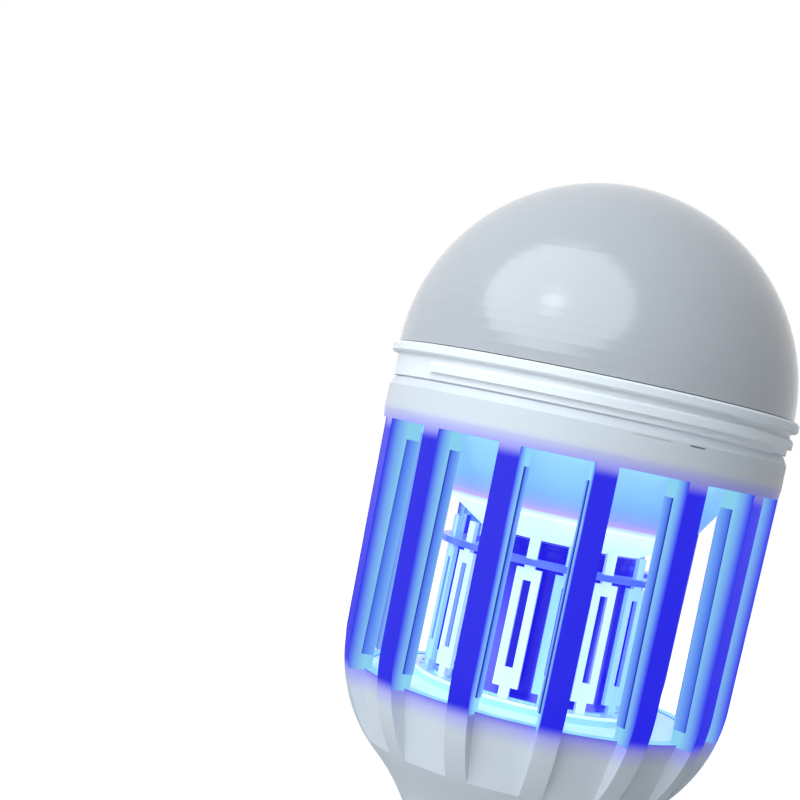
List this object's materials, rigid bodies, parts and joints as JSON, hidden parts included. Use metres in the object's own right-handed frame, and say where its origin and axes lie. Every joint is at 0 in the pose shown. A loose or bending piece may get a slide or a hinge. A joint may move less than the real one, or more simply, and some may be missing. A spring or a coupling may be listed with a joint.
{
  "type": "insect killer light bulb",
  "caption": "Screw-cap lamp with a milky dome held by a threaded collar over a slotted bell-shaped cage that houses a violet light and an electric grid.",
  "frame": {"origin": "centre of the outer face of the centre contact, at the end of the screw cap", "axes": "+Z along the lamp's axis towards the dome; -Y is the side turned to the picture's viewer"},
  "size_m": [0.0806, 0.0806, 0.1753],
  "materials": {
    "contact_brass": "dull",
    "cap_glass": "glossy black glass",
    "cap_nickel": "nickel plated, bright",
    "housing_plastic": "white, satin",
    "circuit_board": "green solder mask",
    "ferrite": "dark ferrite with yellow tape",
    "capacitor_sleeve": "black sleeve",
    "capacitor_block": "red-brown epoxy",
    "diode_body": "black epoxy",
    "resistor_body": "green cement",
    "supply_wire": "insulated wire",
    "screw_steel": "zinc plated",
    "floor_plastic": "white, satin",
    "ring_plastic": "translucent white",
    "grid_steel": "stamped stainless sheet",
    "grid_wire": "insulated wire",
    "tube_plastic": "clear, slightly cloudy",
    "diffuser_plastic": "frosted, lit from behind",
    "board_aluminium": "white solder mask",
    "violet_led": "lit",
    "funnel_plastic": "white, satin",
    "plate_aluminium": "milled",
    "white_board": "white solder mask",
    "white_led": "yellow phosphor",
    "lamp_wire": "insulated wire",
    "collar_plastic": "white, satin",
    "dome_plastic": "milky, satin"
  },
  "bodies": {
    "lamp": {"centre_contact": "contact_brass", "cap_insulator": "cap_glass", "screw_shell": "cap_nickel", "cage_housing": "housing_plastic", "driver_board": "circuit_board", "transformer": "ferrite", "smoothing_capacitors": "capacitor_sleeve", "film_capacitors": "capacitor_block", "hv_diodes": "diode_body", "fuse_resistor": "resistor_body", "supply_leads": "supply_wire", "floor_screws": "screw_steel", "trap_floor": "floor_plastic", "grid_base_ring": "ring_plastic", "grid_top_ring": "ring_plastic", "live_grid": "grid_steel", "earth_grid": "grid_steel", "hv_leads": "grid_wire", "wire_tube": "tube_plastic", "uv_diffuser": "diffuser_plastic", "uv_board": "board_aluminium", "uv_leds": "violet_led", "light_funnel": "funnel_plastic", "heat_plate": "plate_aluminium", "led_board": "white_board", "white_leds": "white_led", "board_screws": "screw_steel", "led_leads": "lamp_wire"},
    "dome": {"diffuser_dome": "dome_plastic"},
    "collar": {"retaining_collar": "collar_plastic"}
  },
  "joints": [
    {"name": "dome_lift", "type": "slide", "parent": "lamp", "child": "dome", "axis": [0, 0, 1], "range_m": [0, 0.00125]},
    {"name": "collar_turn", "type": "hinge", "parent": "dome", "child": "collar", "pos_m": [0, 0, 0.1326], "axis": [0, 0, 1], "range_deg": [0, 270]}
  ],
  "couplings": [
    {"joint": "dome_lift", "follows": "collar_turn", "m_per_rad": 0.00025465}
  ]
}
